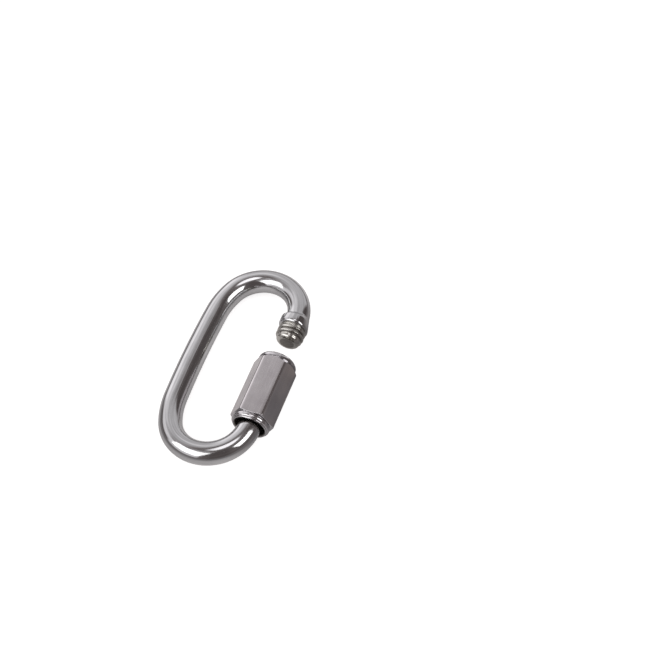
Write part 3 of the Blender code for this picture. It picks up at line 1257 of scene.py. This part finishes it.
@dataclass(frozen=True)
class TableSheet:
    """Matt white sheet, painted with a pool of light, grey round it, and a spotted patch of shade.

    The camera sees it lifted to white, so that only the link's shadow shows. The metal
    mirrors the painted tones as they are lit. Middles and reaches are places on the
    table, in the link's frame.
    """

    name: str
    painted_pool: str
    painted_dimming: str
    painted_shade_patch: str
    painted_patch_spots: str
    spot_size: float
    pool_middle: Pair
    pool_stretch: float
    pool_reach: Pair
    patch_middle: Pair
    patch_stretch: float
    patch_reach: Pair
    camera_lift: Pair
    mirror_lift: Pair

    def oval(self, tree: Tree, place: Socket, middle: Pair, stretch: float, reach: Pair) -> Socket:
        """A soft-edged oval on the table.

        Args:
            tree: The table's node tree.
            place: Places on the table, in metres.
            middle: Middle of the oval, in the link's frame.
            stretch: Its length over its width.
            reach: Distances from the middle, across the oval, between which the value changes.

        Returns:
            0 on the side of the first distance, 1 on the side of the second.
        """
        squeeze = 1 / stretch
        moved = add_node(tree, "ShaderNodeMapping",
                         {"Scale": (squeeze, 1.0, 1.0),
                          "Location": (-middle[0] * MM * squeeze, -middle[1] * MM, 0.0)},
                         {"Vector": place})
        off = add_node(tree, "ShaderNodeVectorMath", {"operation": "LENGTH"},
                       {0: moved.outputs["Vector"]})
        first, last = (0.0, 1.0) if reach[0] < reach[1] else (1.0, 0.0)
        edge = add_node(tree, "ShaderNodeMapRange",
                        {"interpolation_type": "SMOOTHSTEP", "From Min": min(reach) * MM,
                         "From Max": max(reach) * MM, "To Min": first, "To Max": last},
                        {"Value": off.outputs["Value"]})
        return edge.outputs["Result"]

    def tone(self, tree: Tree, place: Socket, painted_dimming: Socket, painted_shade_patch: Socket) -> Socket:
        """Colour of the sheet, with painted light in the pool and painted shade round it and in the
        patch.

        Args:
            tree: The table's node tree.
            place: Places on the table, in metres.
            painted_dimming: 0 in the painted pool of light, 1 in the painted grey away from it.
            painted_shade_patch: 1 in the painted patch of shade.

        Returns:
            The colour.
        """
        cloud = add_node(tree, "ShaderNodeTexNoise",
                         {"Scale": 1 / (self.spot_size * MM), "Detail": 1.0}, {"Vector": place})
        painted_patch_spots = add_node(tree, "ShaderNodeMapRange", {"From Min": 0.46, "From Max": 0.66},
                         {"Value": cloud.outputs["Fac"]})
        dim = add_node(tree, "ShaderNodeMix",
                       {"data_type": "RGBA", 6: linear(self.painted_shade_patch), 7: linear(self.painted_patch_spots)},
                       {0: painted_patch_spots.outputs["Result"]})
        painted_pool = add_node(tree, "ShaderNodeMix",
                        {"data_type": "RGBA", 6: linear(self.painted_pool), 7: linear(self.painted_dimming)}, {0: painted_dimming})
        both = add_node(tree, "ShaderNodeMix", {"data_type": "RGBA"},
                        {0: painted_shade_patch, 6: painted_pool.outputs[2], 7: dim.outputs[2]})
        return both.outputs[2]

    def lift(self, tree: Tree, dark: Socket) -> Socket:
        """Light that the sheet gives off itself.

        Args:
            tree: The table's node tree.
            dark: 0 in the painted pool of light, 1 in the painted grey away from it and in the painted
                patch of shade.

        Returns:
            Its strength, high for the camera and faint in the metal.
        """
        levels = []
        for near, far in (self.camera_lift, self.mirror_lift):
            level = add_node(tree, "ShaderNodeMapRange", {"To Min": near, "To Max": far},
                             {"Value": dark})
            levels.append(level.outputs["Result"])
        seen = any_ray(tree, ("Is Camera Ray",))
        mirrored = any_ray(tree, ("Is Glossy Ray", "Is Transmission Ray"))
        faint = add_node(tree, "ShaderNodeMath", {"operation": "MULTIPLY"},
                         {0: mirrored, 1: levels[1]})
        strength = add_node(tree, "ShaderNodeMath", {"operation": "MULTIPLY_ADD"},
                            {0: seen, 1: levels[0], 2: faint.outputs["Value"]})
        return strength.outputs["Value"]

    def material(self) -> bpy.types.Material:
        """Build the node material.

        Returns:
            The finished material.
        """
        made = bpy.data.materials.new(self.name)
        made.use_nodes = True
        tree = made.node_tree
        tree.nodes.clear()
        place = add_node(tree, "ShaderNodeTexCoord").outputs["Object"]
        # Masks of the painted pool of light, the painted grey round it and the painted patch of shade.
        painted_dimming = self.oval(tree, place, self.pool_middle, self.pool_stretch, self.pool_reach)
        painted_shade_patch = self.oval(tree, place, self.patch_middle, self.patch_stretch, self.patch_reach)
        dark = add_node(tree, "ShaderNodeMath", {"operation": "MAXIMUM"}, {0: painted_dimming, 1: painted_shade_patch})
        sheet = add_node(tree, "ShaderNodeBsdfDiffuse",
                         links={"Color": self.tone(tree, place, painted_dimming, painted_shade_patch)})
        glow = add_node(tree, "ShaderNodeEmission", {"Color": linear("#FFFFFF")},
                        {"Strength": self.lift(tree, dark.outputs["Value"])})
        both = add_node(tree, "ShaderNodeAddShader", links={0: sheet.outputs[0], 1: glow.outputs[0]})
        add_node(tree, "ShaderNodeOutputMaterial", links={"Surface": both.outputs[0]})
        return made


@dataclass(frozen=True)
class TentCloth:
    """White cloth lit from outside, as bright as the mesh's "level" says."""

    name: str
    shaded: str
    lit: str
    shaded_level: float
    lit_level: float

    def material(self) -> bpy.types.Material:
        """Build the node material.

        Returns:
            The finished material.
        """
        made = bpy.data.materials.new(self.name)
        made.use_nodes = True
        made.cycles.emission_sampling = "NONE"
        tree = made.node_tree
        tree.nodes.clear()
        level = add_node(tree, "ShaderNodeAttribute", {"attribute_name": "level"}).outputs["Fac"]
        paleness = add_node(tree, "ShaderNodeMapRange",
                            {"From Min": self.shaded_level, "From Max": self.lit_level},
                            {"Value": level})
        tone = add_node(tree, "ShaderNodeMix",
                        {"data_type": "RGBA", 6: linear(self.shaded), 7: linear(self.lit)},
                        {0: paleness.outputs["Result"]})
        light = add_node(tree, "ShaderNodeEmission", links={"Color": tone.outputs[2], "Strength": level})
        add_node(tree, "ShaderNodeOutputMaterial", links={"Surface": light.outputs[0]})
        return made


# Matt white card, painted bright in a pool of light by the link, grey away from it, and painted dark
# with paler spots beside the link as shade.
WHITE_TABLE = TableSheet(
    name="white_table", painted_pool="#D4D0D0", painted_dimming="#7C7879", painted_shade_patch="#6C696B", painted_patch_spots="#8C837F",
    spot_size=14.0, pool_middle=(-12.0, 0.0), pool_stretch=2.0, pool_reach=(16.0, 42.0),
    patch_middle=(-4.0, 34.0), patch_stretch=1.5, patch_reach=(34.0, 13.0),
    camera_lift=(0.7, 0.93), mirror_lift=(0.05, 0.02))

# Thin white cotton: slightly warm in shade, neutral where the light comes through.
WHITE_TENT = TentCloth(
    name="tent_cloth", shaded="#FFEFED", lit="#FFFCFE", shaded_level=0.1, lit_level=0.55)


# The studio


@dataclass(frozen=True)
class Panel:
    """A patch of the light tent that the metal mirrors.

    Angles are in degrees: azimuth from the picture's right, turning away from the
    camera, and elevation over the table.
    """

    azimuth: float
    elevation: float
    half_width: float
    half_height: float
    softness: float
    level: float

    def share(self, azimuth: float, elevation: float) -> float:
        """How much of this panel shows in a direction.

        Args:
            azimuth: The direction's azimuth.
            elevation: The direction's elevation.

        Returns:
            The share, from 0 to 1.
        """
        aside = abs((azimuth - self.azimuth + 180) % 360 - 180) - self.half_width
        above = abs(elevation - self.elevation) - self.half_height
        return smooth_step(0.5 - aside / self.softness) * smooth_step(0.5 - above / self.softness)


@dataclass(frozen=True)
class SoftBox:
    """A lamp behind a white cloth. Its angles are those of a panel."""

    name: str
    azimuth: float
    elevation: float
    width_m: float
    height_m: float
    watts: float
    distance_m: float = 1.2


@dataclass
class Studio:
    """Floor, light tent, lamps and camera of the picture."""

    # The camera aims beside the nut's middle, at a place in the picture's own directions.
    view_turn: float = math.radians(250.4)
    view_height: float = math.radians(56.3)
    view_distance: float = 400.0
    aim: Pair = (15.5, 14.7)
    lens: float = 83.69
    sensor: float = 36.0
    floor_size_m: float = 3.0
    room_level: float = 0.6
    tent_radius_m: float = 2.5
    tent_rings: int = 90
    tent_level: float = 0.15
    soft_boxes: tuple[SoftBox, ...] = (
        SoftBox("left_soft_box", -145.5, 41.0, 1.16, 0.8, 5.9),
        SoftBox("right_soft_box", -21.0, 40.0, 0.76, 0.64, 3.5),
    )
    # A later panel covers the earlier ones where they overlap.
    panels: tuple[Panel, ...] = (
        # Dark ring under the ceiling, a pale slope on the left, then the bright top.
        Panel(0.0, 67.0, 180.0, 7.0, 5.0, 0.22),
        Panel(-152.0, 65.0, 30.0, 3.5, 5.0, 0.55),
        Panel(-98.0, 60.0, 22.0, 2.5, 4.0, 0.7),
        Panel(0.0, 90.0, 180.0, 13.5, 5.0, 1.75),
        # Grey wall behind the table, paler towards the left.
        Panel(76.0, 20.0, 40.0, 41.0, 6.0, 0.63),
        Panel(135.0, 50.0, 32.0, 11.0, 12.0, 0.6),
        Panel(118.0, 40.0, 20.0, 9.0, 10.0, 0.95),
        Panel(124.0, 16.0, 16.0, 15.0, 12.0, 1.28),
        Panel(165.0, 27.0, 26.0, 12.0, 8.0, 0.95),
        Panel(162.0, 54.0, 18.0, 8.0, 10.0, 0.45),
        # Skirt under the left lamp.
        Panel(-148.0, 14.0, 30.0, 8.0, 8.0, 0.85),
        # Dark gap between the wall and the right lamp.
        Panel(24.0, 34.0, 11.0, 30.0, 12.0, 0.1),
        Panel(38.0, 60.0, 12.0, 10.0, 10.0, 0.13),
        # Dark space round the camera.
        Panel(-80.0, 34.0, 21.0, 34.0, 18.0, 0.12),
    )

    def direction(self, azimuth: float, elevation: float) -> Vector:
        """Turn a direction of the picture into the link's frame.

        Args:
            azimuth: Its azimuth, in degrees from the picture's right.
            elevation: Its elevation, in degrees over the table.

        Returns:
            The direction as a unit vector.
        """
        turn = math.radians(azimuth) - self.view_turn
        rise = math.radians(elevation)
        return Vector((math.cos(rise) * math.cos(turn), math.cos(rise) * math.sin(turn), math.sin(rise)))

    def to_link(self, place: Vector, axis: Vector) -> Vector:
        """Turn a place of the picture's table into the link's frame, in metres."""
        turned = Matrix.Rotation(-self.view_turn, 3, "Z") @ (place + Vector((*self.aim, 0.0)))
        return turned * MM + Vector((0.0, axis.y, 0.0))

    def camera(self, axis: Vector) -> None:
        """Set up the camera at the picture's viewing angle.

        Args:
            axis: Place of the nut's axis, in metres.
        """
        eye = Vector((0.0, -math.cos(self.view_height), math.sin(self.view_height))) * self.view_distance
        data = bpy.data.cameras.new("camera")
        data.lens = self.lens
        data.sensor_width = self.sensor
        camera = bpy.data.objects.new("camera", data)
        bpy.context.scene.collection.objects.link(camera)
        camera.location = self.to_link(eye, axis)
        sight = self.to_link(Vector(), axis) - camera.location
        camera.rotation_euler = sight.to_track_quat("-Z", "Y").to_euler()
        bpy.context.scene.camera = camera

    def floor(self) -> None:
        """A plain white table top that keeps the link's shadow."""
        half = self.floor_size_m / 2
        corners = [(-half, -half, 0), (half, -half, 0), (half, half, 0), (-half, half, 0)]
        mesh = bpy.data.meshes.new("floor")
        mesh.from_pydata(corners, [], [(0, 1, 2, 3)])
        # Its material paints a pool of light and a patch of shade that the metal mirrors.
        mesh.materials.append(WHITE_TABLE.material())
        table = bpy.data.objects.new("floor", mesh)
        bpy.context.scene.collection.objects.link(table)

    def level(self, toward: Vector) -> float:
        """Brightness of the tent in a direction.

        Args:
            toward: The direction, as a unit vector of the link's frame.

        Returns:
            The level that the panels make there.
        """
        azimuth = math.degrees(math.atan2(toward.y, toward.x) + self.view_turn)
        elevation = math.degrees(math.asin(max(-1.0, min(1.0, toward.z))))
        level = self.tent_level
        for panel in self.panels:
            share = panel.share(azimuth, elevation)
            level = level * (1 - share) + panel.level * share
        return level

    def tent(self) -> None:
        """The walls round the table, seen only in the metal's reflections."""
        mesh = bpy.data.meshes.new("light_tent")
        shape = bmesh.new()
        bmesh.ops.create_uvsphere(shape, u_segments=2 * self.tent_rings, v_segments=self.tent_rings,
                                  radius=self.tent_radius_m)
        shape.to_mesh(mesh)
        shape.free()
        levels = [self.level(vertex.co.normalized()) for vertex in mesh.vertices]
        mesh.attributes.new("level", "FLOAT", "POINT").data.foreach_set("value", levels)
        mesh.materials.append(WHITE_TENT.material())
        mesh.shade_smooth()
        tent = bpy.data.objects.new("light_tent", mesh)
        bpy.context.scene.collection.objects.link(tent)
        tent.visible_camera = False
        tent.visible_diffuse = False
        tent.visible_shadow = False

    def hang(self, box: SoftBox) -> None:
        """Hang one soft box round the table.

        Args:
            box: The soft box.
        """
        data = bpy.data.lights.new(box.name, "AREA")
        data.shape = "RECTANGLE"
        data.size = box.width_m
        data.size_y = box.height_m
        data.energy = box.watts
        lamp = bpy.data.objects.new(box.name, data)
        bpy.context.scene.collection.objects.link(lamp)
        toward = self.direction(box.azimuth, box.elevation)
        lamp.location = toward * box.distance_m
        lamp.rotation_euler = toward.to_track_quat("Z", "Y").to_euler()

    def world(self) -> None:
        """A plain white background that lights the table less than it shows."""
        world = bpy.data.worlds.new("pale_room")
        bpy.context.scene.world = world
        world.use_nodes = True
        tree = world.node_tree
        tree.nodes.clear()
        seen = any_ray(tree, ("Is Camera Ray", "Is Glossy Ray", "Is Transmission Ray"))
        level = add_node(tree, "ShaderNodeMapRange", {"To Min": self.room_level, "To Max": 1.0},
                         {"Value": seen})
        glow = add_node(tree, "ShaderNodeBackground", {"Color": linear("#FFFFFF")},
                        {"Strength": level.outputs["Result"]})
        add_node(tree, "ShaderNodeOutputWorld", links={"Surface": glow.outputs[0]})

    def build(self, axis: Vector) -> None:
        """Set up floor, tent, lamps, world and camera.

        Args:
            axis: Place of the nut's axis, in metres.
        """
        self.floor()
        self.tent()
        for box in self.soft_boxes:
            self.hang(box)
        self.world()
        self.camera(axis)
        bpy.context.scene.view_settings.view_transform = "Standard"


# Building the scene


def main() -> None:
    """Load the frame, then build the link and its studio."""
    logging.basicConfig(level=logging.INFO, format="%(message)s")
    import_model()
    link = QuickLink()
    for piece in link.place():
        LOG.info("%s: %d faces", piece.name, len(piece.data.polygons))
    Studio().build(link.axis_place())


if __name__ == "__main__":
    main()
